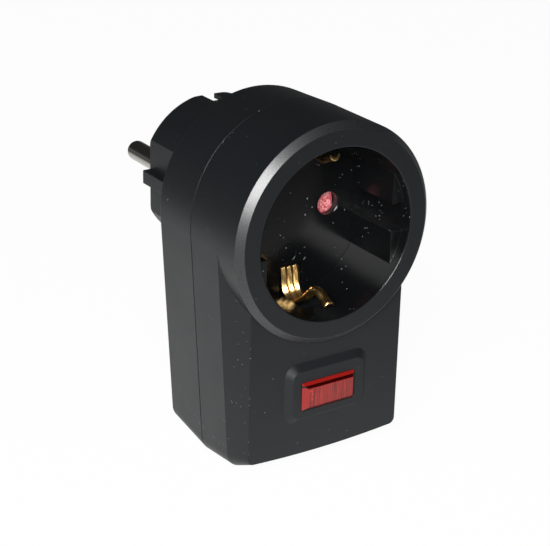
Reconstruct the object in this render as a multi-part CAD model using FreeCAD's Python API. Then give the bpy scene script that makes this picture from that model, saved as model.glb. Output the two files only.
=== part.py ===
import FreeCAD, Part
import math
import os

V = FreeCAD.Vector

# Upright plug-through adapter. X runs to the viewer's right, +Y points into the wall
# and +Z points up. The origin is the centre of the plug's flat end face.

# Depths along the socket and plug axis.
PLUG_LENGTH = 20.0
REAR_DEPTH = 14.5
FRONT_DEPTH = 19.0
WALL = 2.0
PLUG_END_Y = 0.0
REAR_Y = PLUG_END_Y - PLUG_LENGTH
SEAM_Y = REAR_Y - REAR_DEPTH
FACE_Y = SEAM_Y - FRONT_DEPTH

# Upright outline of the housing.
BODY_R = 25.1
REAR_R = 24.55
SIDE_TAPER_DEG = 3.6
BOTTOM_FRONT_Z = -52.25
BOTTOM_SHOULDER_Z = -55.1
BOTTOM_SEAM_Z = -56.0
BOTTOM_REAR_Z = -54.1
BOTTOM_CROWN_R = 250.0
CORNER_R = 3.8
REAR_EDGE_R = 0.5
SEAM_STEP = 0.3
SEAM_STEP_DEPTH = 0.35

# Raised socket ring, lower panel and the slanted facets round the panel.
RING_CHAMFER = 1.5
PANEL_DROP = 2.57
PANEL_HALF_W = 20.1
PANEL_CORNER_R = 1.5
SHOULDER_DEPTH = 8.3
SHOULDER_CORNER_R = 4.0
HOLLOW_TOP_Z = -12.0

# Socket recess.
RECESS_R = 19.5
RECESS_DEPTH = 17.2
RIM_R = 0.4
CUP_WALL = 1.8
GUIDE_X = 16.3
GUIDE_START = 2.5
GUIDE_TALL = 12.0
GROOVE_HALF = 3.2
PIN_PITCH = 19.0
PIN_HOLE_R = 2.7
HOLE_SINK = 0.2
CLIP_SLOT_HALF = 3.0
CLIP_SLOT_Z = 12.9
CLIP_POCKET_Z = 21.6
CLIP_POCKET_START = 8.0
POCKET_WALL = 1.4

# Separate floor disc, seated on a step behind the recess.
FLOOR_SEAT = 0.8
FLOOR_CLEAR = 0.1
MARK_R = 2.25
MARK_DEPTH = 0.12

# Raised surround and the signal lamp's window.
PLATEAU_H = 1.2
PLATEAU_W = 22.0
PLATEAU_TALL = 14.6
PLATEAU_SLOPE = 1.6
PLATEAU_Z = -36.9
PLATEAU_R = 3.0
LENS_W = 14.1
LENS_TALL = 6.75
LENS_Z = -37.4
LENS_RISE = 1.2
LENS_BEVEL = 1.15
LENS_WALL = 1.0
LENS_GAP = 0.1
LENS_FLANGE = 1.2
LENS_FLANGE_T = 1.0
FLUTE_PITCH = 0.75

# Plug body, with a collar through the rear wall and a flange behind it.
PLUG_R = 17.9
FLAT_X = 15.6
FLAT_TALL = 12.0
CAP_Z = 17.3
RIDGE_X = 17.6
RIDGE_W = 3.1
EARTH_MOUTH_W = 3.3
EARTH_SLOT_W = 5.5
EARTH_FLOOR_Z = 15.0
EARTH_LIP_Z = 16.15
PLUG_RIM = 0.6
COLLAR_R = 18.0
COLLAR_CLEAR = 0.1
FLANGE_R = 18.7
FLANGE_T = 1.5

# Plug pins, thinner inside the plug than outside it.
PIN_R = 2.4
PIN_DOME = 1.8
PIN_LENGTH = 19.0
PIN_ROOT_R = 2.1
PIN_SEAT_CLEAR = 0.05
PIN_SEAT_DEPTH = 0.2
PIN_BACK = 13.1
SPIGOT_R = 1.5

# Contact sockets behind the pin holes.
SLEEVE_R = 3.3
SLEEVE_BORE_R = 2.45
SLEEVE_BASE = 2.0
SLEEVE_SLIT = 0.7
SLEEVE_CLEAR = 0.35
SLEEVE_BACK = 1.0
TAIL_W = 3.0
TAIL_T = 0.8
TAIL_DROP = 3.0
RIVET_HEAD = 0.7

# Earth bows.
STRIP_T = 0.8
FINGER_T = 0.45
BOW_W = 4.7
BEAD_H = 0.26
CHANNEL_W = 2.5
CHANNEL_DEG = 78.0
RIVET_R = 1.2

# Shutter behind the recess floor.
SHUTTER_GAP = 0.35
SHUTTER_T = 2.0
SHUTTER_R = 12.3
SHUTTER_HUB_R = 4.2
SHUTTER_HALF_DEG = 19.0
SHUTTER_BORE_R = 1.55
ARM_HALF = 1.0
ARM_TOP = 9.0
PIVOT_R = 1.5
PLATE_T = 1.4
PLATE_R = 17.0
PLATE_POST_X = 13.8
PLATE_POST_Z = 9.6
PLATE_POST_R = 1.4
SPRING_R = 1.2
SPRING_WIRE = 0.25
SPRING_TURNS = 5
SPRING_Z = 7.6
SPRING_END_X = 9.6

# Circuit board and its parts.
BOARD_T = 1.6
BOARD_W = 24.0
BOARD_TOP_Z = -24.5
BOARD_FRONT = 22.0
BOARD_GAP = 2.1
LEAD_R = 0.35
LEAD_HOLE = 0.45
LEAD_TAIL = 0.8
VARISTOR_R = 5.4
VARISTOR_T = 4.0
VARISTOR_PITCH = 4.6
VARISTOR_X = -7.2
VARISTOR_Z = -41.1
VARISTOR_LEAD_X = 0.7
VARISTOR_LEAD_Z = 2.5
SMALL_PART_R = 1.6
RESISTOR_R = 1.2
RESISTOR_LONG = 6.0
RESISTOR_LEAD_X = 4.5
LAMP_R = 2.0
LAMP_GAP = 0.2
LAMP_INSET = 1.55
LAMP_RISE = 2.2
LAMP_LEAD = 0.55

# Housing screws.
SCREW_R = 1.1
SCREW_HEAD_R = 2.0
SCREW_HEAD_H = 1.6
SCREW_SEAT = 3.6
SCREW_CLEAR = 0.15
BOSS_R = 2.6
REAR_BOSS_R = 2.9
UPPER_SCREW_R = 21.7
LOWER_SCREW_X = 15.5
LOWER_SCREW_Z = -44.0
SCREW_LENGTH = 22.0

PANEL_Y = FACE_Y + PANEL_DROP
SHOULDER_Y = FACE_Y + SHOULDER_DEPTH
FLOOR_Y = FACE_Y + RECESS_DEPTH
PIN_X = PIN_PITCH / 2
TAPER = math.radians(SIDE_TAPER_DEG)


def box(x0, x1, y0, y1, z0, z1):
    return Part.makeBox(x1 - x0, y1 - y0, z1 - z0, V(x0, y0, z0))


def rod(radius, x, z, y0, y1):
    return Part.makeCylinder(radius, y1 - y0, V(x, y0, z), V(0, 1, 0))


def fuse_all(shapes):
    return shapes[0].multiFuse(shapes[1:]).removeSplitter()


def polygon(points):
    return Part.makePolygon([V(*p) for p in points] + [V(*points[0])])


def turned(points):
    """Solid of revolution about the socket axis from (radius, y) points."""
    face = Part.Face(polygon([(r, y, 0) for r, y in points]))
    return face.revolve(V(0, 0, 0), V(0, 1, 0), 360)


def mirror_z(shape):
    return shape.mirror(V(0, 0, 0), V(0, 0, 1))


def corner(half, lean, bottom, radius):
    """Start, middle and end of the arc between the right side and the crowned bottom."""
    start = (half - radius) / math.cos(lean)
    slope = math.tan(lean)
    hub = bottom + BOTTOM_CROWN_R
    a = 1 + slope ** 2
    b = 2 * start * slope - 2 * hub
    c = start ** 2 + hub ** 2 - (BOTTOM_CROWN_R - radius) ** 2
    cz = (-b - math.sqrt(b ** 2 - 4 * a * c)) / (2 * a)
    cx = start + slope * cz
    first = -lean
    last = math.atan2(cz - hub, cx)
    places = []
    for turn in (first, (first + last) / 2, last):
        places.append((cx + radius * math.cos(turn), cz + radius * math.sin(turn)))
    return places


def outline(y, half, lean, bottom, radius, domed):
    """Closed outline at one depth: leaning sides, two rounded corners, a crowned bottom."""
    top = V(half * math.cos(lean), y, -half * math.sin(lean))
    far_top = V(-top.x, y, top.z)
    right = [V(x, y, z) for x, z in corner(half, lean, bottom, radius)]
    left = [V(-p.x, y, p.z) for p in right]
    edges = [Part.makeLine(top, right[0]), Part.Arc(*right).toShape(),
             Part.Arc(right[2], V(0, y, bottom), left[2]).toShape(),
             Part.Arc(*left[::-1]).toShape(), Part.makeLine(left[0], far_top)]
    if domed:
        edges.append(Part.Arc(far_top, V(0, y, half), top).toShape())
    else:
        edges.append(Part.makeLine(far_top, top))
    return Part.Wire(edges)


def front_form(inset, spare):
    """Front half's outer form, moved inwards by a wall for its inside."""
    radius = BODY_R - inset
    bottom = BOTTOM_SHOULDER_Z + inset
    bend = SHOULDER_CORNER_R - inset
    front = FACE_Y + inset
    shoulder = SHOULDER_Y + 0.36 * inset
    seam = outline(SEAM_Y, radius, TAPER, BOTTOM_SEAM_Z + inset, CORNER_R - inset, True)
    full = outline(shoulder, radius, TAPER, bottom, bend, True)
    body = Part.makeLoft([full, seam], True, True)
    if spare > 0:
        body = body.fuse(Part.Face(seam).extrude(V(0, spare, 0)))
    ring = turned([(0, front), (radius - RING_CHAMFER, front), (radius, front + RING_CHAMFER),
                   (radius, shoulder), (0, shoulder)])
    panel = outline(PANEL_Y + inset, PANEL_HALF_W - inset / 2, 0, BOTTOM_FRONT_Z + inset / 2,
                    PANEL_CORNER_R, False)
    low = outline(shoulder, radius, TAPER, bottom, bend, False)
    facets = Part.makeLoft([panel, low], True, True)
    return fuse_all([body, ring, facets])


def rear_section(y, inset):
    """Rear half's outline at one depth between the seam and the rear face."""
    share = (y - SEAM_Y) / (REAR_Y - SEAM_Y)
    half = BODY_R + (REAR_R - BODY_R) * share - inset
    bottom = BOTTOM_SEAM_Z + (BOTTOM_REAR_Z - BOTTOM_SEAM_Z) * share + inset
    return outline(y, half, TAPER, bottom, CORNER_R - inset, True)


def rear_form(inset):
    """Rear half's outer form with its draft, rising bottom and softened rear edge."""
    wires = [rear_section(SEAM_Y, inset)]
    if inset > 0:
        wires.append(rear_section(REAR_Y - inset, inset))
    else:
        for share in (0, 0.3, 1):
            wires.append(rear_section(REAR_Y - REAR_EDGE_R * (1 - share) ** 2, REAR_EDGE_R * share ** 2))
    return Part.makeLoft(wires, True, True)


def seam_groove():
    """Narrow step round the rear half's open edge."""
    reach = V(0, 1 + SEAM_STEP, 0)
    outer = outline(SEAM_Y - 1, BODY_R + 1, TAPER, BOTTOM_SEAM_Z - 1, CORNER_R + 1, True)
    inner = outline(SEAM_Y - 1, BODY_R - SEAM_STEP_DEPTH, TAPER, BOTTOM_SEAM_Z + SEAM_STEP_DEPTH,
                    CORNER_R - SEAM_STEP_DEPTH, True)
    return Part.Face(outer).extrude(reach).cut(Part.Face(inner).extrude(reach))


def screw_places():
    upper = UPPER_SCREW_R / math.sqrt(2)
    return [(-upper, upper), (upper, upper), (-LOWER_SCREW_X, LOWER_SCREW_Z), (LOWER_SCREW_X, LOWER_SCREW_Z)]


def recess_tool():
    """Hollow of the socket recess with the two side guides left standing."""
    points = [(0, FACE_Y - 2), (RECESS_R + RIM_R, FACE_Y - 2), (RECESS_R + RIM_R, FACE_Y)]
    for k in range(1, 5):
        turn = math.radians(90 * k / 4)
        points.append((RECESS_R + RIM_R * (1 - math.sin(turn)), FACE_Y + RIM_R * (1 - math.cos(turn))))
    points += [(RECESS_R, FLOOR_Y), (0, FLOOR_Y)]
    tool = turned(points)
    for side in (-1, 1):
        x0, x1 = sorted((side * GUIDE_X, side * (RECESS_R + 1)))
        for z0, z1 in ((GROOVE_HALF, GUIDE_TALL), (-GUIDE_TALL, -GROOVE_HALF)):
            tool = tool.cut(box(x0, x1, FACE_Y + GUIDE_START, FLOOR_Y + 1, z0, z1))
    return tool


def rounded_rect(y, width, tall, z, radius):
    """Closed outline of a rectangle with rounded corners in a plane across Y."""
    x = width / 2
    h = tall / 2
    k = radius * (1 - math.sqrt(0.5))
    edges = []
    corners = [(1, 1), (1, -1), (-1, -1), (-1, 1)]
    for i, (sx, sz) in enumerate(corners):
        on_side = V(sx * x, y, z + sz * (h - radius))
        on_end = V(sx * (x - radius), y, z + sz * h)
        first, last = (on_end, on_side) if i % 2 == 0 else (on_side, on_end)
        middle = V(sx * (x - k), y, z + sz * (h - k))
        edges.append(Part.Arc(first, middle, last).toShape())
        nx, nz = corners[(i + 1) % 4]
        if i % 2 == 0:
            follow = V(nx * x, y, z + nz * (h - radius))
        else:
            follow = V(nx * (x - radius), y, z + nz * h)
        edges.append(Part.makeLine(last, follow))
    return Part.Wire(edges)


def plateau():
    base = rounded_rect(PANEL_Y, PLATEAU_W, PLATEAU_TALL, PLATEAU_Z, PLATEAU_R)
    drop = 2 * PLATEAU_SLOPE
    top = rounded_rect(PANEL_Y - PLATEAU_H, PLATEAU_W - drop, PLATEAU_TALL - drop, PLATEAU_Z,
                       PLATEAU_R - 1.0)
    root = Part.Face(base).extrude(V(0, WALL / 2, 0))
    return Part.makeLoft([base, top], True, True).fuse(root)


def front_housing():
    hollow = front_form(WALL, 1.0).cut(box(-40, 40, FACE_Y, SEAM_Y + 2, HOLLOW_TOP_Z, 40))
    hollow = hollow.cut(rod(RECESS_R + CUP_WALL, 0, 0, FACE_Y, SEAM_Y + 2))
    for x, z in screw_places():
        hollow = hollow.cut(rod(BOSS_R, x, z, FACE_Y, SEAM_Y + 2))
    half = CLIP_SLOT_HALF + POCKET_WALL
    start = FACE_Y + CLIP_POCKET_START
    hollow = hollow.cut(box(-half, half, start - POCKET_WALL, SEAM_Y + 2,
                            -CLIP_POCKET_Z - POCKET_WALL, -RECESS_R))
    body = front_form(0, 0).fuse(plateau()).cut(hollow).cut(recess_tool())
    body = body.cut(rod(RECESS_R + FLOOR_SEAT, 0, 0, FLOOR_Y, SEAM_Y + 1))
    for side in (-1, 1):
        z0, z1 = sorted((side * (RECESS_R - 1.5), side * CLIP_POCKET_Z))
        body = body.cut(box(-CLIP_SLOT_HALF, CLIP_SLOT_HALF, start, SEAM_Y + 1, z0, z1))
    window = rounded_rect(PANEL_Y - 5, LENS_W + 2 * LENS_GAP, LENS_TALL + 2 * LENS_GAP, LENS_Z, 0.4)
    body = body.cut(Part.Face(window).extrude(V(0, 12, 0)))
    for x, z in screw_places():
        end = REAR_Y - SCREW_SEAT - SCREW_LENGTH - 0.5
        body = body.cut(rod(SCREW_R, x, z, end, SEAM_Y + 1))
    return body.removeSplitter()


def socket_floor():
    """Floor of the recess, with the pin holes, the clip slots and the shutter's pivot."""
    disc = rod(RECESS_R + FLOOR_SEAT - FLOOR_CLEAR, 0, 0, FLOOR_Y, SEAM_Y)
    for side in (-1, 1):
        x = side * PIN_X
        disc = disc.cut(rod(PIN_HOLE_R, x, 0, FLOOR_Y - 1, SEAM_Y + 1))
        disc = disc.cut(Part.makeCone(PIN_HOLE_R + HOLE_SINK, PIN_HOLE_R, HOLE_SINK,
                                      V(x, FLOOR_Y, 0), V(0, 1, 0)))
        z0, z1 = sorted((side * CLIP_SLOT_Z, side * 25))
        disc = disc.cut(box(-CLIP_SLOT_HALF, CLIP_SLOT_HALF, FLOOR_Y - 1, SEAM_Y + 1, z0, z1))
    for x, z in ((-1.0, -10.0), (17.7, 0.0)):
        disc = disc.cut(rod(MARK_R, x, z, FLOOR_Y - 1, FLOOR_Y + MARK_DEPTH))
    return disc.fuse(rod(PIVOT_R, 0, 0, SEAM_Y, plate_y())).removeSplitter()


def plate_y():
    return SEAM_Y + SHUTTER_GAP + SHUTTER_T + SHUTTER_GAP


def bow_y():
    return plate_y() + PLATE_T


def sleeve_end_y():
    return PLUG_END_Y - PIN_BACK


def rear_housing():
    hollow = rear_form(WALL)
    for x, z in screw_places():
        hollow = hollow.cut(rod(REAR_BOSS_R, x, z, SEAM_Y - 1, REAR_Y))
    for x, z in board_posts():
        hollow = hollow.cut(rod(2.0, x, z, board_y() + BOARD_T, REAR_Y))
    body = rear_form(0).cut(hollow).cut(seam_groove())
    for x, z in board_posts():
        body = body.fuse(rod(0.9, x, z, board_y() + 0.2, board_y() + BOARD_T + 1))
    body = body.cut(rod(COLLAR_R + COLLAR_CLEAR, 0, 0, REAR_Y - WALL - 1, REAR_Y + 1))
    for x, z in screw_places():
        body = body.cut(rod(SCREW_R + SCREW_CLEAR, x, z, SEAM_Y - 1, REAR_Y + 1))
        body = body.cut(rod(SCREW_HEAD_R + SCREW_CLEAR, x, z, REAR_Y - SCREW_SEAT, REAR_Y + 1))
    return body.removeSplitter()


def plug_form():
    """Turned blank of the plug: inner flange, collar, body and a rounded end edge."""
    back = REAR_Y - WALL
    front = back - FLANGE_T
    soft = 0.3 * PLUG_RIM
    return turned([(0, front), (FLANGE_R, front), (FLANGE_R, back), (COLLAR_R, back),
                   (COLLAR_R, REAR_Y), (PLUG_R, REAR_Y), (PLUG_R, PLUG_END_Y - PLUG_RIM),
                   (PLUG_R - soft, PLUG_END_Y - soft), (PLUG_R - PLUG_RIM, PLUG_END_Y), (0, PLUG_END_Y)])


def plug_body():
    """Earthed plug body with side flats, a middle ridge and an earth groove on each end."""
    front = REAR_Y - WALL - FLANGE_T
    body = plug_form()
    for side in (-1, 1):
        x0, x1 = sorted((side * FLAT_X, side * 20))
        flat = box(x0, x1, REAR_Y, PLUG_END_Y + 1, -FLAT_TALL, FLAT_TALL)
        x0, x1 = sorted((side * 15, side * RIDGE_X))
        ridge = box(x0, x1, REAR_Y, PLUG_END_Y + 2, -RIDGE_W / 2, RIDGE_W / 2)
        body = body.cut(flat.cut(ridge))
        z0, z1 = sorted((side * CAP_Z, side * 20))
        body = body.cut(box(-12, 12, REAR_Y, PLUG_END_Y + 1, z0, z1))
        z0, z1 = sorted((side * EARTH_FLOOR_Z, side * EARTH_LIP_Z))
        body = body.cut(box(-EARTH_SLOT_W / 2, EARTH_SLOT_W / 2, REAR_Y, PLUG_END_Y + 1, z0, z1))
        z0, z1 = sorted((side * EARTH_FLOOR_Z, side * 20))
        body = body.cut(box(-EARTH_MOUTH_W / 2, EARTH_MOUTH_W / 2, REAR_Y, PLUG_END_Y + 1, z0, z1))
        z0, z1 = sorted((side * EARTH_FLOOR_Z, side * (EARTH_FLOOR_Z + STRIP_T + 0.2)))
        body = body.cut(box(-EARTH_SLOT_W / 2, EARTH_SLOT_W / 2, front - 1, REAR_Y + 1, z0, z1))
        body = body.cut(rod(SLEEVE_R + SLEEVE_CLEAR, side * PIN_X, 0, front - 1, sleeve_end_y()))
        body = body.cut(rod(PIN_ROOT_R, side * PIN_X, 0, front, PLUG_END_Y + 1))
        seat = rod(PIN_R + PIN_SEAT_CLEAR, side * PIN_X, 0, PLUG_END_Y - PIN_SEAT_DEPTH, PLUG_END_Y + 1)
        body = body.cut(seat)
    posts = [rod(PLATE_POST_R + 0.4, x, z, bow_y(), front) for x, z in plate_posts()]
    return fuse_all([body] + posts)


def plug_pin(side):
    """Round contact pin with a domed tip, and a riveted spigot at its inner end."""
    x = side * PIN_X
    back = sleeve_end_y()
    pin = rod(PIN_R, x, 0, PLUG_END_Y, PLUG_END_Y + PIN_LENGTH)
    tip = [e for e in pin.Edges if e.BoundBox.YMin > PLUG_END_Y + PIN_LENGTH - 0.01]
    pin = pin.makeFillet(PIN_DOME, tip)
    root = rod(PIN_ROOT_R, x, 0, back, PLUG_END_Y)
    spigot = rod(SPIGOT_R, x, 0, back - SLEEVE_BASE, back)
    head = rod(SPIGOT_R + 0.5, x, 0, back - SLEEVE_BASE - RIVET_HEAD, back - SLEEVE_BASE)
    return fuse_all([pin, root, spigot, head])


def contact(side):
    """Slit contact sleeve on a plug pin, with a tail down to the circuit board."""
    x = side * PIN_X
    front = bow_y() + SLEEVE_BACK
    back = sleeve_end_y()
    sleeve = rod(SLEEVE_R, x, 0, front, back).cut(rod(SLEEVE_BORE_R, x, 0, front - 1, back - SLEEVE_BASE))
    sleeve = sleeve.cut(rod(SPIGOT_R, x, 0, front, back + 1))
    half = SLEEVE_SLIT / 2
    sleeve = sleeve.cut(box(x - half, x + half, front - 1, back - SLEEVE_BASE - 2, -5, 5))
    low = BOARD_TOP_Z - TAIL_DROP
    y0 = front + 1.5
    y1 = y0 + TAIL_W
    drop = box(x - TAIL_T / 2, x + TAIL_T / 2, y0, y1, low, -SLEEVE_R + 0.4)
    foot = box(x - TAIL_T / 2, x + TAIL_T / 2, board_y() - 1.0, y1, low, low + 2.0)
    return fuse_all([sleeve, drop, foot])


def finger_path():
    """Middle line (y, z) of a sprung earth finger, from the floor slot to its tip."""
    rows = [(1.8, 13.75), (0.9, 13.85), (0.2, 14.6), (0.1, 15.9), (-0.3, 17.6), (-1.1, 19.0),
            (-2.4, 19.8), (-3.8, 20.1), (-5.1, 19.3), (-6.6, 17.5), (-8.0, 15.8), (-9.5, 14.8),
            (-11.0, 14.7), (-12.5, 15.3), (-14.1, 16.1), (-15.3, 16.7)]
    return [(FLOOR_Y + y, z) for y, z in rows]


def finger_section(place, tangent, share):
    """One cross-section of the finger: three beads at its root, a channel at its tip."""
    normal = V(0, -tangent.z, tangent.y)
    beads = min(1, share / 0.1) * min(1, max(0, (0.62 - share) / 0.2))
    curl = min(1, max(0, (share - 0.45) / 0.25))
    width = BOW_W + (CHANNEL_W * 1.25 - BOW_W) * min(1, max(0, (share - 0.3) / 0.35))
    bend = curl * math.radians(CHANNEL_DEG)
    count = 12
    points = []
    for i in range(count + 1):
        u = -1 + 2 * i / count
        x = width / 2 * u
        h = beads * BEAD_H * math.cos(3 * math.pi * u)
        if curl > 0.02:
            x = width / 2 / bend * math.sin(bend * u)
            h += width / 2 / bend * (math.cos(bend * u) - 1)
        points.append((x, h))
    upper = []
    lower = []
    for i, (x, h) in enumerate(points):
        x0, h0 = points[max(i - 1, 0)]
        x1, h1 = points[min(i + 1, count)]
        size = math.hypot(x1 - x0, h1 - h0)
        ox = -(h1 - h0) / size * FINGER_T / 2
        oh = (x1 - x0) / size * FINGER_T / 2
        upper.append(place + V(x + ox, 0, 0) + normal * (h + oh))
        lower.append(place + V(x - ox, 0, 0) + normal * (h - oh))
    loop = upper + lower[::-1]
    return Part.makePolygon(loop + [loop[0]])


def finger():
    """Upper finger, lofted along its path."""
    path = Part.BSplineCurve()
    path.interpolate([V(0, y, z) for y, z in finger_path()])
    first = path.FirstParameter
    last = path.LastParameter
    wires = []
    stations = 16
    for i in range(stations):
        share = i / (stations - 1)
        at = first + (last - first) * share
        wires.append(finger_section(path.value(at), path.tangent(at)[0], share))
    return Part.makeLoft(wires, True, False)


def socket_earth_bow():
    """Spring bow whose two fingers reach through the floor slots."""
    upper = finger()
    y, z = finger_path()[0]
    back = bow_y()
    leg = box(-BOW_W / 2, BOW_W / 2, y, back + STRIP_T, z - FINGER_T / 2, z + FINGER_T / 2)
    bridge = box(-BOW_W / 2, BOW_W / 2, back, back + STRIP_T, -z - FINGER_T / 2, z + FINGER_T / 2)
    bow = fuse_all([upper, leg, bridge, mirror_z(leg), mirror_z(upper)])
    return bow.cut(rod(RIVET_R, 0, 0, back - 1, back + 2))


def plug_earth_bow():
    """Strip bent round the plug's inside, with a leg in each earth groove."""
    y0 = bow_y() + STRIP_T
    z1 = EARTH_FLOOR_Z + STRIP_T
    w = BOW_W / 2
    bridge = box(-w, w, y0, y0 + STRIP_T, -z1, z1)
    leg = box(-w, w, y0, PLUG_END_Y - 0.8, EARTH_FLOOR_Z, z1)
    bow = fuse_all([bridge, leg, mirror_z(leg)])
    return bow.cut(rod(RIVET_R, 0, 0, y0 - 1, y0 + 2))


def earth_rivet():
    y0 = bow_y()
    y1 = y0 + 2 * STRIP_T
    return fuse_all([rod(RIVET_R, 0, 0, y0, y1), rod(RIVET_R + 0.9, 0, 0, y1, y1 + RIVET_HEAD)])


def shutter():
    """Turning shutter with two ramped wings that lie behind the pin holes."""
    y0 = SEAM_Y + SHUTTER_GAP
    hub = rod(SHUTTER_HUB_R, 0, 0, y0, y0 + SHUTTER_T)
    half = math.radians(SHUTTER_HALF_DEG)
    disc = rod(SHUTTER_R, 0, 0, y0, y0 + SHUTTER_T)
    reach = SHUTTER_R + 2
    rise = reach * math.tan(half)
    wing = Part.Face(polygon([(0, y0, 0), (reach, y0, rise), (reach, y0, -rise)])).extrude(V(0, SHUTTER_T, 0))
    wing = wing.common(disc)
    ramp = Part.Face(polygon([(4.5, y0 - 1, 6), (4.5, y0, -2.5), (4.5, y0 + SHUTTER_T - 0.6, 6)]))
    wing = wing.cut(ramp.extrude(V(12, 0, 0)))
    other = wing.copy()
    other.rotate(V(0, 0, 0), V(0, 1, 0), 180)
    arm = box(-ARM_HALF, ARM_HALF, y0, y0 + SHUTTER_T, 3, ARM_TOP)
    body = fuse_all([hub, wing, other, arm])
    return body.cut(rod(SHUTTER_BORE_R, 0, 0, y0 - 1, y0 + SHUTTER_T + 1))


def plate_posts():
    return [(x, z) for z in (PLATE_POST_Z, -PLATE_POST_Z) for x in (PLATE_POST_X, -PLATE_POST_X)]


def shutter_plate():
    """Cover plate that keeps the shutter against the recess floor."""
    y0 = plate_y()
    plate = rod(PLATE_R, 0, 0, y0, y0 + PLATE_T)
    for x, z in plate_posts():
        plate = plate.fuse(rod(PLATE_POST_R, x, z, SEAM_Y, y0 + PLATE_T))
    for side in (-1, 1):
        plate = plate.cut(rod(PIN_HOLE_R + 0.35, side * PIN_X, 0, y0 - 1, y0 + 3))
        z0, z1 = sorted((side * (CLIP_SLOT_Z + 0.2), side * 20))
        plate = plate.cut(box(-CLIP_SLOT_HALF, CLIP_SLOT_HALF, y0 - 1, y0 + 3, z0, z1))
    stop = box(SPRING_END_X, SPRING_END_X + 1.2, SEAM_Y, y0 + 0.5, SPRING_Z - 1.5, SPRING_Z + 1.5)
    return plate.fuse(stop).removeSplitter()


def shutter_spring():
    """Small compression spring between the shutter's arm and its stop."""
    y_mid = SEAM_Y + SHUTTER_GAP + SHUTTER_T / 2
    length = SPRING_END_X - ARM_HALF - 2 * SPRING_WIRE
    middle = SPRING_R - SPRING_WIRE
    helix = Part.makeHelix(length / SPRING_TURNS, length, middle)
    ring = []
    for k in range(6):
        turn = math.radians(60 * k)
        ring.append((middle + SPRING_WIRE * math.cos(turn), 0, SPRING_WIRE * math.sin(turn)))
    coil = Part.Wire(helix.Edges).makePipeShell([polygon(ring)], True, True)
    coil.rotate(V(0, 0, 0), V(0, 1, 0), 90)
    coil.translate(V(ARM_HALF + SPRING_WIRE, y_mid, SPRING_Z))
    return coil


def board_y():
    return FACE_Y + BOARD_FRONT


def board_posts():
    return [(0, -27.0), (-9.5, -47.5), (2.5, -48.0)]


def varistor_x(index):
    return VARISTOR_X + VARISTOR_PITCH * index


def varistor_leads(index):
    x = varistor_x(index)
    return [(x - VARISTOR_LEAD_X, VARISTOR_Z + VARISTOR_LEAD_Z), (x + VARISTOR_LEAD_X, VARISTOR_Z - VARISTOR_LEAD_Z)]


def lamp_leads():
    x = LENS_W / 2 + LAMP_LEAD
    return [(-x, LENS_Z + LAMP_RISE), (x, LENS_Z + LAMP_RISE)]


def fuse_leads():
    return [(6.6, -46.0), (6.6, -37.6)]


def tube_leads():
    return [(10.2, -46.6), (10.2, -37.8)]


def resistor_leads():
    return [(-RESISTOR_LEAD_X, -30.0), (RESISTOR_LEAD_X, -30.0)]


def lead_places():
    places = lamp_leads() + fuse_leads() + tube_leads() + resistor_leads()
    for index in range(3):
        places += varistor_leads(index)
    return places


def circuit_board():
    y0 = board_y()
    low = BOTTOM_REAR_Z + WALL + BOARD_GAP
    board = box(-BOARD_W / 2, BOARD_W / 2, y0, y0 + BOARD_T, low, BOARD_TOP_Z)
    for x, z in board_posts():
        board = board.cut(rod(1.0, x, z, y0 - 1, y0 + 3))
    for x, z in lead_places():
        board = board.cut(rod(LEAD_HOLE, x, z, y0 - 1, y0 + 3))
    half = TAIL_T / 2 + 0.1
    foot = BOARD_TOP_Z - TAIL_DROP
    for x in (-PIN_X, PIN_X):
        board = board.cut(box(x - half, x + half, y0 - 1, y0 + 3, foot - 0.1, foot + 2.1))
    return board


def lead(x, z, y0):
    """Round wire from a part's middle through the board."""
    return rod(LEAD_R, x, z, y0, board_y() + BOARD_T + LEAD_TAIL)


def varistor(index):
    x = varistor_x(index)
    y_mid = board_y() - VARISTOR_R
    start = V(x - VARISTOR_T / 2, y_mid, VARISTOR_Z)
    disc = Part.makeCylinder(VARISTOR_R, VARISTOR_T, start, V(1, 0, 0))
    return fuse_all([disc] + [lead(lx, lz, y_mid) for lx, lz in varistor_leads(index)])


def axial_part(pair, y_mid, radius, length):
    """Cylinder lying across the board between two bent leads."""
    (x0, z0), (x1, z1) = pair
    along = V(x1 - x0, 0, z1 - z0)
    span = along.Length
    way = along * (1 / span)
    start = V(x0, y_mid, z0)
    body = Part.makeCylinder(radius, length, start + way * ((span - length) / 2), way)
    shapes = [body, Part.makeCylinder(LEAD_R, span, start, way)]
    for x, z in pair:
        shapes.append(Part.makeSphere(LEAD_R, V(x, y_mid, z)))
        shapes.append(lead(x, z, y_mid))
    return fuse_all(shapes)


def small_part(pair):
    length = 0.7 * (pair[1][1] - pair[0][1])
    return axial_part(pair, board_y() - SMALL_PART_R, SMALL_PART_R, length)


def series_resistor():
    return axial_part(resistor_leads(), board_y() - RESISTOR_R, RESISTOR_R, RESISTOR_LONG)


def neon_lamp():
    """Glow lamp behind the lens, on two leads from the board."""
    y_mid = PANEL_Y + WALL + LENS_FLANGE_T + LAMP_GAP + LAMP_R
    return axial_part(lamp_leads(), y_mid, LAMP_R, LENS_W - 2 * LAMP_INSET)


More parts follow.
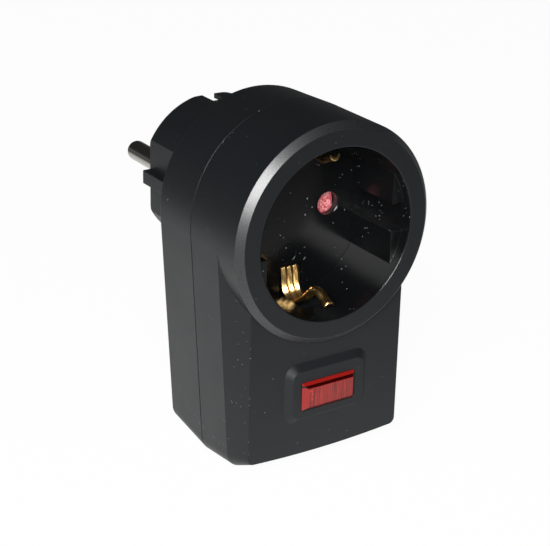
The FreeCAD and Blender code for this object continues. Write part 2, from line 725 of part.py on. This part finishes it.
def indicator_lens():
    """Bevelled lens with fine flutes inside its face and a flange behind the panel."""
    top_y = PANEL_Y - PLATEAU_H
    face_y = top_y - LENS_RISE
    back_y = PANEL_Y + WALL
    base = rounded_rect(top_y, LENS_W, LENS_TALL, LENS_Z, 0.3)
    drop = 2 * LENS_BEVEL
    face = rounded_rect(face_y, LENS_W - drop, LENS_TALL - drop, LENS_Z, 0.3)
    stem = Part.Face(base).extrude(V(0, back_y - top_y, 0))
    crown = Part.makeLoft([base, face], True, True)
    half_x = LENS_W / 2 + LENS_FLANGE
    half_z = LENS_TALL / 2 + LENS_FLANGE
    flange = box(-half_x, half_x, back_y, back_y + LENS_FLANGE_T, LENS_Z - half_z, LENS_Z + half_z)
    body = fuse_all([stem, crown, flange])
    inner_x = LENS_W / 2 - LENS_BEVEL - 0.3
    inner_z = LENS_TALL / 2 - LENS_BEVEL
    floor_y = face_y + LENS_WALL
    body = body.cut(box(-inner_x, inner_x, floor_y, back_y + 2, LENS_Z - inner_z, LENS_Z + inner_z))
    flute = Part.Face(polygon([(-FLUTE_PITCH / 3, floor_y + 0.01, LENS_Z - inner_z),
                               (FLUTE_PITCH / 3, floor_y + 0.01, LENS_Z - inner_z),
                               (0, floor_y - FLUTE_PITCH / 3, LENS_Z - inner_z)]))
    count = int((2 * inner_x - FLUTE_PITCH) / FLUTE_PITCH)
    for i in range(count):
        x = (i - (count - 1) / 2) * FLUTE_PITCH
        body = body.cut(flute.extrude(V(0, 0, 2 * inner_z)).translated(V(x, 0, 0)))
    return body


def housing_screw(index):
    x, z = screw_places()[index]
    seat = REAR_Y - SCREW_SEAT
    head = rod(SCREW_HEAD_R, x, z, seat, seat + SCREW_HEAD_H)
    cross = fuse_all([box(x - 1.3, x + 1.3, seat + 0.6, seat + 3, z - 0.3, z + 0.3),
                      box(x - 0.3, x + 0.3, seat + 0.6, seat + 3, z - 1.3, z + 1.3)])
    return head.fuse(rod(SCREW_R, x, z, seat - SCREW_LENGTH, seat)).removeSplitter().cut(cross)


def make_parts():
    parts = {
        "front_housing": front_housing(),
        "socket_floor": socket_floor(),
        "rear_housing": rear_housing(),
        "plug_body": plug_body(),
        "plug_pin_left": plug_pin(-1),
        "plug_pin_right": plug_pin(1),
        "contact_left": contact(-1),
        "contact_right": contact(1),
        "socket_earth_bow": socket_earth_bow(),
        "plug_earth_bow": plug_earth_bow(),
        "earth_rivet": earth_rivet(),
        "shutter": shutter(),
        "shutter_plate": shutter_plate(),
        "shutter_spring": shutter_spring(),
        "circuit_board": circuit_board(),
        "thermal_fuse": small_part(fuse_leads()),
        "gas_discharge_tube": small_part(tube_leads()),
        "series_resistor": series_resistor(),
        "neon_lamp": neon_lamp(),
        "indicator_lens": indicator_lens(),
    }
    for index in range(3):
        parts["varistor_%d" % (index + 1)] = varistor(index)
    for index in range(4):
        parts["housing_screw_%d" % (index + 1)] = housing_screw(index)
    return parts


os.makedirs("parts", exist_ok=True)
for name, shape in make_parts().items():
    print(name, shape.isValid(), len(shape.Solids), round(shape.Volume, 1))
    shape.exportStep("parts/%s.step" % name)
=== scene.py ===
# %% [markdown]
# # An earthed plug-through adapter with surge protection
# The adapter is modelled in CAD as a set of solids, one for each real piece. This
# lesson loads those solids and gives every one the finish that the real piece has:
# moulded black ABS outside, polished black in the socket, bright brass springs,
# nickel-plated pins and a clear red lens. The shapes stay as the CAD made them,
# because moulded parts are exact. What is added is surface, light and a camera.

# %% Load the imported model
import bpy
import math
from mathutils import Matrix, Vector


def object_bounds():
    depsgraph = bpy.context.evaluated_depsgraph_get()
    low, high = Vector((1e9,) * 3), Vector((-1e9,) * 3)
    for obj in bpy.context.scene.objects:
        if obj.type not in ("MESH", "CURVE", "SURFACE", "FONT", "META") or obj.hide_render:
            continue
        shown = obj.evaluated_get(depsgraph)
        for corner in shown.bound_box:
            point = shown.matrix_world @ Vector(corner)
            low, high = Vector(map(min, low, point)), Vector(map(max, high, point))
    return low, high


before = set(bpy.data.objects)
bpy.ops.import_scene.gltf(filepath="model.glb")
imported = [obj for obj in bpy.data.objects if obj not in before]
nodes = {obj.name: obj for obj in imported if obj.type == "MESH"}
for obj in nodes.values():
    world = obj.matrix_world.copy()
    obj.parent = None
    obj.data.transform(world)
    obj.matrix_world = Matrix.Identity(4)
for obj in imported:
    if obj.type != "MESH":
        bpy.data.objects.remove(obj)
cad_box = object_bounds()
scene = bpy.context.scene
MM = 0.001
print("pieces loaded:", len(nodes))

# %% [markdown]
# ## Camera
# The photograph was taken from the adapter's front left and from above, with a long
# lens. The camera's place was worked out from points whose real positions are known,
# such as the ring, the pins and the seam. A camera's matrix has its right, up and
# backward directions as columns, so it can be set straight from an azimuth, an
# elevation and a small roll, with no aiming constraint.

# %% Set the camera
PHOTO_W, PHOTO_H = 550, 546
AZIMUTH, ELEVATION, ROLL = 33.933, 22.848, 1.386
CAMERA_MM = (-192.97, -315.99, 127.73)
FOCAL_PX, CENTRE_X, CENTRE_Y = 1640.95, 273.317, 274.755
SENSOR_MM, CLIP_START_M = 36.0, 0.01


def camera_axes(azimuth, elevation, roll):
    """Right, up and backward directions of a camera that looks along +Y at azimuth 0."""
    a, e, r = (math.radians(v) for v in (azimuth, elevation, roll))
    back = Vector((-math.sin(a) * math.cos(e), -math.cos(a) * math.cos(e), math.sin(e)))
    right = Vector((math.cos(a), -math.sin(a), 0.0))
    up = back.cross(right)
    return (right * math.cos(r) + up * math.sin(r), up * math.cos(r) - right * math.sin(r), back)


lens_data = bpy.data.cameras.new("photo_camera")
lens_data.sensor_width = SENSOR_MM
lens_data.lens = FOCAL_PX * SENSOR_MM / PHOTO_W
lens_data.shift_x = (PHOTO_W / 2 - CENTRE_X) / PHOTO_W
lens_data.shift_y = (CENTRE_Y - PHOTO_H / 2) / PHOTO_W
lens_data.clip_start = CLIP_START_M
camera = bpy.data.objects.new("photo_camera", lens_data)
scene.collection.objects.link(camera)
right, up, back = camera_axes(AZIMUTH, ELEVATION, ROLL)
turn = Matrix((right, up, back)).transposed().to_4x4()
camera.matrix_world = Matrix.Translation(Vector(CAMERA_MM) * MM) @ turn
scene.camera = camera
scene.view_settings.view_transform = "Standard"
print("lens length in mm:", round(lens_data.lens, 2))

# %% [markdown]
# ## Helpers for materials
# A material is a small graph of nodes. One helper adds a node, sets its values and
# links its inputs. A colour is easiest to judge as the hex value that a screen
# shows, but the renderer works in linear light, so one function converts it.

# %% Node and colour helpers
def linear(hex_colour):
    """Linear RGBA of an sRGB hex colour."""
    values = [int(hex_colour[i:i + 2], 16) / 255 for i in (1, 3, 5)]
    return tuple(v / 12.92 if v <= 0.04045 else ((v + 0.055) / 1.055) ** 2.4 for v in values) + (1.0,)


def add(tree, kind, settings=None, **inputs):
    """Add a node. Settings are its properties. Inputs go by name, or by number as i0, i1,
    and each is a value, a socket, or a node whose first live output is taken."""
    node = tree.nodes.new(kind)
    for key, value in (settings or {}).items():
        setattr(node, key, value)
    for key, value in inputs.items():
        numbered = key[0] == "i" and key[1:].isdigit()
        socket = node.inputs[int(key[1:])] if numbered else node.inputs[key.replace("_", " ")]
        if isinstance(value, bpy.types.Node):
            value = next(s for s in value.outputs if s.enabled)
        if isinstance(value, bpy.types.NodeSocket):
            tree.links.new(value, socket)
        else:
            socket.default_value = value
    return node


MATH, MIX, RANGE, NOISE = "ShaderNodeMath", "ShaderNodeMix", "ShaderNodeMapRange", "ShaderNodeTexNoise"
RGB = {"data_type": "RGBA"}
print("mid grey in linear light:", round(linear("#808080")[0], 3))

# %% [markdown]
# ## Helpers for dressing a piece
# Each material starts as the renderer's standard shader. Values that are the same all
# over a piece are set on the shader itself, and only those that vary are linked. A CAD
# piece keeps its mesh and gets the material in its own slots.

# %% Material helpers
def new_material(name):
    """Material with its node tree, its shader and the place of a point on the object."""
    material = bpy.data.materials.new(name)
    material.use_nodes = True
    tree = material.node_tree
    place = add(tree, "ShaderNodeTexCoord").outputs["Object"]
    return material, tree, tree.nodes["Principled BSDF"], place


def dress(material, shader, names, links=None, **values):
    """Set a shader's sockets, from links or plain values, and give CAD nodes the material."""
    for key, node in (links or {}).items():
        output = next(s for s in node.outputs if s.enabled)
        shader.id_data.links.new(output, shader.inputs[key])
    for key, value in values.items():
        shader.inputs[key.replace("_", " ")].default_value = value
    for name in names:
        mesh = nodes[name].data
        if len(mesh.materials) == 0:
            mesh.materials.append(material)
        for index in range(len(mesh.materials)):
            mesh.materials[index] = material
    print(material.name, "on", ", ".join(names))


# %% [markdown]
# ## Dust
# Black plastic shows every fleck of dust. A fleck is drawn where the surface cuts
# one of a cloud of small spheres: a Voronoi pattern fills space with cells, each
# cell has a random number, and only cells with a number over a level carry one.

# %% Dust helper
def dust(tree, place, cell_mm, fleck_mm, level):
    """One where a fleck of dust lies, and zero elsewhere. A higher level means fewer flecks."""
    cells = add(tree, "ShaderNodeTexVoronoi", Vector=place, Scale=1 / (cell_mm * MM))
    near = add(tree, MATH, {"operation": "LESS_THAN"}, i0=cells.outputs["Distance"],
               i1=fleck_mm / 2 / cell_mm)
    draw = add(tree, "ShaderNodeSeparateColor", Color=cells.outputs["Color"])
    drawn = add(tree, MATH, {"operation": "GREATER_THAN"}, i0=draw.outputs[0], i1=level)
    return add(tree, MATH, {"operation": "MULTIPLY"}, i0=near, i1=drawn)


# %% [markdown]
# ## Black ABS, spark textured: the masks
# The two half-shells are injection moulded in black ABS. The tool was spark eroded,
# so the outside carries a fine grain, about a quarter of a millimetre across, that
# turns a mirror into a soft sheen. Inside the socket the tool was polished, and the
# ring's chamfer, which hands and plugs rub, has worn smoother. It is one moulding, so
# one material holds all of it, and masks from a point's place pick the finish.

# %% Masks from place
SEAM_Y_MM, FLOOR_Y_MM, FACE_Y_MM = -34.5, -36.3, -53.5
RECESS_R_MM, FLOOR_MARGIN_MM = 19.7, 1
CHAMFER_R_MM, CHAMFER_HALF_MM, CHAMFER_DEPTH_MM = 24.4, 0.85, 1.55
abs_black, tree, shader, place = new_material("abs_spark_textured_black")
axes = add(tree, "ShaderNodeSeparateXYZ", Vector=place)
flat = add(tree, "ShaderNodeCombineXYZ", X=axes.outputs["X"], Z=axes.outputs["Z"])
reach = add(tree, "ShaderNodeVectorMath", {"operation": "LENGTH"}, Vector=flat).outputs["Value"]
near = add(tree, MATH, {"operation": "LESS_THAN"}, i0=reach, i1=RECESS_R_MM * MM)
deep = add(tree, MATH, {"operation": "LESS_THAN"}, i0=axes.outputs["Y"],
           i1=(FLOOR_Y_MM + FLOOR_MARGIN_MM) * MM)
recess = add(tree, MATH, {"operation": "MULTIPLY"}, i0=near, i1=deep)
edge = add(tree, MATH, {"operation": "COMPARE"}, i0=reach, i1=CHAMFER_R_MM * MM,
           i2=CHAMFER_HALF_MM * MM)
front = add(tree, MATH, {"operation": "LESS_THAN"}, i0=axes.outputs["Y"],
            i1=(FACE_Y_MM + CHAMFER_DEPTH_MM) * MM)
chamfer = add(tree, MATH, {"operation": "MULTIPLY"}, i0=edge, i1=front)
print("masks by radius in mm: recess under", RECESS_R_MM, "and chamfer near", CHAMFER_R_MM)

# %% [markdown]
# ## Black ABS: colour and dust
# The pigment is a neutral black with a trace of blue, and inside the socket it is painted
# darker as painted shade. Flecks gather in loose patches in the socket, where a cloth
# doesn't reach, some of them short bits of lint, and along the seam and the left facet.
# A noise pattern is the map of the patches.

# %% Colour and dust
# Each pair is the size of a cell, which sets how far apart flecks lie, and of a fleck.
SPECKS_MM, LINT_MM, OUTER_MM = (0.75, 0.17), (1.3, 0.15), (0.5, 0.12)
PATCH_MM, LINT_TURN, LINT_SQUEEZE = 5, 0.6, 0.3
FACET_X_MM, FACET_HALF_MM, FACET_TOP_MM, SEAM_HALF_MM = -21.2, 1.3, -9, 0.3
CLEAN_LEVEL, DIRTY_LEVEL = 0.988, 0.8
# The inside of the socket gets a darker black: painted shade in the deep recess.
colour = add(tree, MIX, RGB, i0=recess, i6=linear("#121517"), i7=linear("#0b0c0d"))
patches = add(tree, NOISE, Vector=place, Scale=1 / (PATCH_MM * MM), Detail=2.0)
gather = add(tree, RANGE, Value=patches, From_Min=0.5, From_Max=0.68, To_Min=0.995, To_Max=0.45)
turned = add(tree, "ShaderNodeMapping", Vector=place, Rotation=(0.0, LINT_TURN, 0.0),
             Scale=(1.0, 1.0, LINT_SQUEEZE))
specks = dust(tree, place, *SPECKS_MM, gather)
lint = dust(tree, turned, *LINT_MM, gather)
inner = add(tree, MATH, {"operation": "MAXIMUM"}, i0=specks, i1=lint)
left = add(tree, MATH, {"operation": "COMPARE"}, i0=axes.outputs["X"], i1=FACET_X_MM * MM,
           i2=FACET_HALF_MM * MM)
lower = add(tree, MATH, {"operation": "LESS_THAN"}, i0=axes.outputs["Z"], i1=FACET_TOP_MM * MM)
facet = add(tree, MATH, {"operation": "MULTIPLY"}, i0=left, i1=lower)
seam = add(tree, MATH, {"operation": "COMPARE"}, i0=axes.outputs["Y"], i1=SEAM_Y_MM * MM,
           i2=SEAM_HALF_MM * MM)
dirty = add(tree, MATH, {"operation": "MAXIMUM"}, i0=facet, i1=seam)
level = add(tree, RANGE, Value=dirty, To_Min=CLEAN_LEVEL, To_Max=DIRTY_LEVEL)
outer = dust(tree, place, *OUTER_MM, level)
fleck = add(tree, MIX, i0=recess, i2=outer, i3=inner)
dust_and_recess_shade = add(tree, MIX, RGB, i0=fleck, i6=colour, i7=linear("#b4b8bc"))
print("fleck sizes in mm:", SPECKS_MM[1], LINT_MM[1], OUTER_MM[1])

# %% [markdown]
# ## Black ABS: grain
# The grain is a height pattern that tilts the surface a little. Real spark grain is
# near a tenth of a millimetre, and it is drawn coarser here so that it shows. A bevel
# node rounds the shading of each edge by three tenths of a millimetre, as moulded
# edges are. The chamfer's wear is a second, glossier coat on top of the plastic.

# %% Grain and roughness
GRAIN_MM, GRAIN_HEIGHT_MM, CLOUD_MM, EDGE_ROUND_MM = 0.28, 0.05, 9, 0.3
SHELL_GRAIN, RECESS_GRAIN, RECESS_ROUGHNESS = 0.55, 0.04, 0.2
grain = add(tree, NOISE, Vector=place, Scale=1 / (GRAIN_MM * MM), Detail=3.0, Roughness=0.6)
cloud = add(tree, NOISE, Vector=place, Scale=1 / (CLOUD_MM * MM), Detail=2.0)
rough_out = add(tree, RANGE, Value=cloud, To_Min=0.38, To_Max=0.48)
rough_edge = add(tree, RANGE, Value=grain, From_Min=0.35, From_Max=0.65, To_Min=0.24, To_Max=0.34)
rough_shell = add(tree, MIX, i0=chamfer, i2=rough_out, i3=rough_edge)
rough = add(tree, MIX, i0=recess, i2=rough_shell, i3=RECESS_ROUGHNESS)
depth = add(tree, MIX, i0=recess, i2=SHELL_GRAIN, i3=RECESS_GRAIN)
soft = add(tree, "ShaderNodeBevel", {"samples": 4}, Radius=EDGE_ROUND_MM * MM)
bump = add(tree, "ShaderNodeBump", Strength=depth, Distance=GRAIN_HEIGHT_MM * MM, Height=grain,
           Normal=soft)
dress(abs_black, shader, ["front_housing", "rear_housing", "socket_floor", "plug_body", "shutter_plate"],
      {"Base Color": dust_and_recess_shade, "Roughness": rough, "Normal": bump, "Coat Weight": chamfer},
      IOR=1.5, Specular_IOR_Level=0.42, Coat_Roughness=0.5, Coat_IOR=1.6)

# %% [markdown]
# ## Metals
# The earth springs are stamped from brass strip and left bright, so the rolled
# surface has faint streaks along the strip. The plug pins are brass with a nickel
# coat. A metal's colour is the colour of its reflection, so each base colour is
# light, and roughness alone says how well it was finished.

# %% Brass, nickel and steel
STREAK_SQUEEZE, STREAK_HEIGHT_MM = 0.08, 0.02


def metal(name, hex_colour, roughness, streak_mm, *names):
    """Bright metal with faint rolling streaks along the strip."""
    material, tree, shader, place = new_material(name)
    pulled = add(tree, "ShaderNodeMapping", Vector=place,
                 Scale=(1.0, STREAK_SQUEEZE, STREAK_SQUEEZE))
    streak = add(tree, NOISE, Vector=pulled, Scale=1 / (streak_mm * MM), Detail=2.0)
    rough = add(tree, RANGE, Value=streak, To_Min=roughness * 0.75, To_Max=roughness * 1.35)
    bump = add(tree, "ShaderNodeBump", Strength=0.15, Distance=STREAK_HEIGHT_MM * MM, Height=streak)
    dress(material, shader, names, {"Roughness": rough, "Normal": bump},
          Base_Color=linear(hex_colour), Metallic=1.0)


metal("brass_rolled_bright", "#e6bd7c", 0.26, 0.3, "socket_earth_bow", "plug_earth_bow", "earth_rivet",
      "contact_left", "contact_right")
metal("nickel_plated", "#bdb9b3", 0.16, 0.4, "plug_pin_left", "plug_pin_right")
metal("steel_zinc_plated", "#b4b4b2", 0.3, 0.3, "housing_screw_1", "housing_screw_2",
      "housing_screw_3", "housing_screw_4", "shutter_spring")

# %% [markdown]
# ## Clear red lens
# The lens is moulded in transparent red polycarbonate. Upright flutes on its inner face
# spread the lamp's light, and the streaks they show through the front are painted light
# and shade. Brighter orange-red flecks at its left end are painted glints. The sloped rim
# bends the light another way, and its brighter red is painted light, with one dark line of
# painted shade along its top. Glass alone would need many bounces for this, so part of it
# is painted by place and the rest is left to the glass.

# %% Lens material
LENS_HALF_W_MM, LENS_HALF_TALL_MM, LENS_BEVEL_MM, LENS_Z_MM = 7.05, 3.375, 1.15, -37.4
FLUTE_SHOWS_MM, GLINTS_MM, GLINTS_END_MM = 0.34, (0.7, 0.42), -4.6
LINE_RISE_MM, LINE_HALF_MM = 2.55, 0.26
lens_red, tree, shader, place = new_material("polycarbonate_clear_red")
axes = add(tree, "ShaderNodeSeparateXYZ", Vector=place)
side = add(tree, MATH, {"operation": "ABSOLUTE"}, i0=axes.outputs["X"])
rise = add(tree, MATH, {"operation": "SUBTRACT"}, i0=axes.outputs["Z"], i1=LENS_Z_MM * MM)
tall = add(tree, MATH, {"operation": "ABSOLUTE"}, i0=rise)
in_w = add(tree, MATH, {"operation": "LESS_THAN"}, i0=side,
           i1=(LENS_HALF_W_MM - LENS_BEVEL_MM) * MM)
in_h = add(tree, MATH, {"operation": "LESS_THAN"}, i0=tall,
           i1=(LENS_HALF_TALL_MM - LENS_BEVEL_MM) * MM)
face = add(tree, MATH, {"operation": "MULTIPLY"}, i0=in_w, i1=in_h)
pulled = add(tree, "ShaderNodeMapping", Vector=place, Scale=(1.0, 0.0, 0.05))
# Lighter and darker upright streaks on the lens face are painted light and shade of the flutes.
streak = add(tree, NOISE, Vector=pulled, Scale=1 / (FLUTE_SHOWS_MM * MM), Detail=2.0)
streak = add(tree, RANGE, Value=streak, From_Min=0.36, From_Max=0.66)
painted_flutes = add(tree, MIX, RGB, i0=streak, i6=linear("#701814"), i7=linear("#a82a22"))
# Brighter orange-red flecks at the lens's left end are painted glints.
painted_glints = dust(tree, place, *GLINTS_MM, 0.5)
end = add(tree, MATH, {"operation": "LESS_THAN"}, i0=axes.outputs["X"], i1=GLINTS_END_MM * MM)
painted_glints = add(tree, MATH, {"operation": "MULTIPLY"}, i0=painted_glints, i1=end)
painted_flutes = add(tree, MIX, RGB, i0=painted_glints, i6=painted_flutes, i7=linear("#d83c2c"))
# The rim's brighter red is painted light, and the dark line along its top is painted shade.
line = add(tree, MATH, {"operation": "COMPARE"}, i0=rise, i1=LINE_RISE_MM * MM,
           i2=LINE_HALF_MM * MM)
rim = add(tree, MIX, RGB, i0=line, i6=linear("#9a1c16"), i7=linear("#300000"))
colour = add(tree, MIX, RGB, i0=face, i6=rim, i7=painted_flutes)
dress(lens_red, shader, ["indicator_lens"], {"Base Color": colour},
      Transmission_Weight=0.35, Roughness=0.08, IOR=1.58)

# %% [markdown]
# ## Red shutter and the plain moulded pieces
# The shutter is an opaque red moulding with a satin skin, and its pale spots are painted
# highlights. The lamp, fuse, tube, resistor, varistors and board behind the panel have the
# colours that such parts are made in.

# %% Moulded, dipped and glazed pieces
SKIN_HEIGHT_MM = 0.02


def plastic(name, hex_colour, mottle_and_sheen_colour, roughness, grain_mm, *names):
    """Opaque moulded plastic, ceramic or resin with a fine skin and paler spots of random tone, which on
    the shutter are painted highlights.
    """
    material, tree, shader, place = new_material(name)
    grain = add(tree, NOISE, Vector=place, Scale=1 / (grain_mm * MM), Detail=3.0)
    mottle_and_sheen = add(tree, RANGE, Value=grain, From_Min=0.4, From_Max=0.65)
    colour = add(tree, MIX, RGB, i0=mottle_and_sheen, i6=linear(hex_colour), i7=linear(mottle_and_sheen_colour))
    rough = add(tree, RANGE, Value=grain, To_Min=roughness * 0.8, To_Max=roughness * 1.2)
    bump = add(tree, "ShaderNodeBump", Strength=0.2, Distance=SKIN_HEIGHT_MM * MM, Height=grain)
    dress(material, shader, names, {"Base Color": colour, "Roughness": rough, "Normal": bump})


# The shutter's pale spots are painted highlights.
plastic("polyamide_satin_red", "#bc3c48", "#eeb0b0", 0.35, 0.5, "shutter")
plastic("epoxy_dipped_blue", "#28458f", "#3552a4", 0.3, 0.6, "varistor_1", "varistor_2", "varistor_3")
plastic("glass_epoxy_board_green", "#1c5230", "#246238", 0.45, 0.5, "circuit_board")
plastic("ceramic_white", "#d8d4ca", "#e2ded4", 0.35, 0.4, "thermal_fuse", "gas_discharge_tube")
plastic("resistor_lacquer_tan", "#b0946a", "#bda074", 0.4, 0.4, "series_resistor")
plastic("lamp_glass_frosted", "#e2dace", "#ece6dc", 0.2, 0.5, "neon_lamp")

# %% [markdown]
# ## World
# The photograph is a studio shot on white, with a dark studio above and to the sides,
# which is what keeps the top of the black housing black. So the world is white to the
# camera and through glass, and dim to reflections and to soft light. Light Path tells
# one kind of ray from another.

# %% World
def white_rays(tree):
    """Rays that see plain white, and rays that are reflections."""
    ray = add(tree, "ShaderNodeLightPath")
    seen = add(tree, MATH, {"operation": "MAXIMUM"}, i0=ray.outputs["Is Camera Ray"],
               i1=ray.outputs["Is Transmission Ray"])
    return seen, ray.outputs["Is Glossy Ray"]


SKYLINE_LOW, SKYLINE_HIGH = -0.1, 0.3
SKYLINE_GLOW, CEILING_GLOW, SOFT_SHARE = 0.22, 0.03, 0.7
world = bpy.data.worlds.new("studio")
scene.world = world
world.use_nodes = True
tree = world.node_tree
background = tree.nodes["Background"]
background.inputs["Color"].default_value = (1, 1, 1, 1)
seen, glossy = white_rays(tree)
toward = add(tree, "ShaderNodeTexCoord").outputs["Generated"]
height = add(tree, "ShaderNodeSeparateXYZ", Vector=toward).outputs["Z"]
studio = add(tree, RANGE, {"interpolation_type": "SMOOTHSTEP"}, Value=height, From_Min=SKYLINE_LOW,
             From_Max=SKYLINE_HIGH, To_Min=SKYLINE_GLOW, To_Max=CEILING_GLOW)
share = add(tree, MATH, {"operation": "MAXIMUM"}, i0=glossy, i1=SOFT_SHARE)
mirrored = add(tree, MATH, {"operation": "MULTIPLY"}, i0=studio, i1=share)
strength = add(tree, MATH, {"operation": "MAXIMUM"}, i0=seen, i1=mirrored)
tree.links.new(strength.outputs[0], background.inputs["Strength"])
print("world glow at the skyline and overhead:", SKYLINE_GLOW, CEILING_GLOW)

# %% [markdown]
# ## Floor
# The adapter stands on white paper. It lies a hair under the lowest point, and most of
# its brightness is its own, so that it looks white to the camera, while the rest is
# lit and keeps a faint shadow. In reflections the sheet fades out away from the
# adapter, because the black panel shows that the real one was not large.

# %% Paper sheet
FLOOR_REACH_M, FLOOR_GAP_M = 3.0, 0.0002
PAPER = (0.9, 0.9, 0.9, 1)
low = cad_box[0][2] - FLOOR_GAP_M
corners = [(-1, -1), (1, -1), (1, 1), (-1, 1)]
floor_mesh = bpy.data.meshes.new("floor")
floor_mesh.from_pydata([(x * FLOOR_REACH_M, y * FLOOR_REACH_M, low) for x, y in corners], [],
                       [(0, 1, 2, 3)])
floor = bpy.data.objects.new("floor", floor_mesh)
scene.collection.objects.link(floor)
print("floor height in mm:", round(low / MM, 2))

# %% Paper's white
SHEET_NEAR_MM, SHEET_FAR_MM, SHEET_EDGE = 65, 250, 0.1
SHEET_SHIFT_MM, PAPER_GLOW_SHARE = (35, -20), 0.96
floor_white, tree, shader, place = new_material("paper_white")
shader.inputs["Base Color"].default_value = PAPER
shader.inputs["Roughness"].default_value = 0.9
shader.inputs["Specular IOR Level"].default_value = 0.0
seen, glossy = white_rays(tree)
centred = add(tree, "ShaderNodeMapping", Vector=place,
              Location=(SHEET_SHIFT_MM[0] * MM, SHEET_SHIFT_MM[1] * MM, 0.0))
away = add(tree, "ShaderNodeVectorMath", {"operation": "LENGTH"}, Vector=centred).outputs["Value"]
sheet = add(tree, RANGE, Value=away, From_Min=SHEET_NEAR_MM * MM, From_Max=SHEET_FAR_MM * MM,
            To_Min=1.0, To_Max=SHEET_EDGE)
mirrored = add(tree, MATH, {"operation": "MULTIPLY"}, i0=glossy, i1=sheet)
strength = add(tree, MATH, {"operation": "MAXIMUM"}, i0=seen, i1=mirrored)
glow = add(tree, "ShaderNodeEmission", Color=(1, 1, 1, 1), Strength=strength)
either = add(tree, MATH, {"operation": "MAXIMUM"}, i0=seen, i1=glossy)
share = add(tree, MATH, {"operation": "MULTIPLY"}, i0=either, i1=PAPER_GLOW_SHARE)
blend = add(tree, "ShaderNodeMixShader", i0=share, i1=shader.outputs[0], i2=glow)
tree.links.new(blend.outputs[0], tree.nodes["Material Output"].inputs["Surface"])
floor_mesh.materials.append(floor_white)
print("sheet seen in reflections to mm:", SHEET_FAR_MM)

# %% [markdown]
# ## Light
# One large soft panel hangs by the camera's upper left. The ring's chamfer mirrors it
# as a bright band. An area light is used because its size sets how soft the band is.

# %% Soft panel
KEY_MM, KEY_AIM_MM, KEY_SIDE_MM, KEY_WATTS = (-560, -655, 450), (0, -45, 5), 500, 17.0
panel = bpy.data.lights.new("key_panel", "AREA")
panel.size = KEY_SIDE_MM * MM
panel.energy = KEY_WATTS
key = bpy.data.objects.new("key_panel", panel)
scene.collection.objects.link(key)
key.location = Vector(KEY_MM) * MM
key.rotation_euler = (Vector(KEY_AIM_MM) - Vector(KEY_MM)).to_track_quat("-Z", "Y").to_euler()
key.visible_camera = False
print("key panel distance in mm:", round((Vector(KEY_AIM_MM) - Vector(KEY_MM)).length))
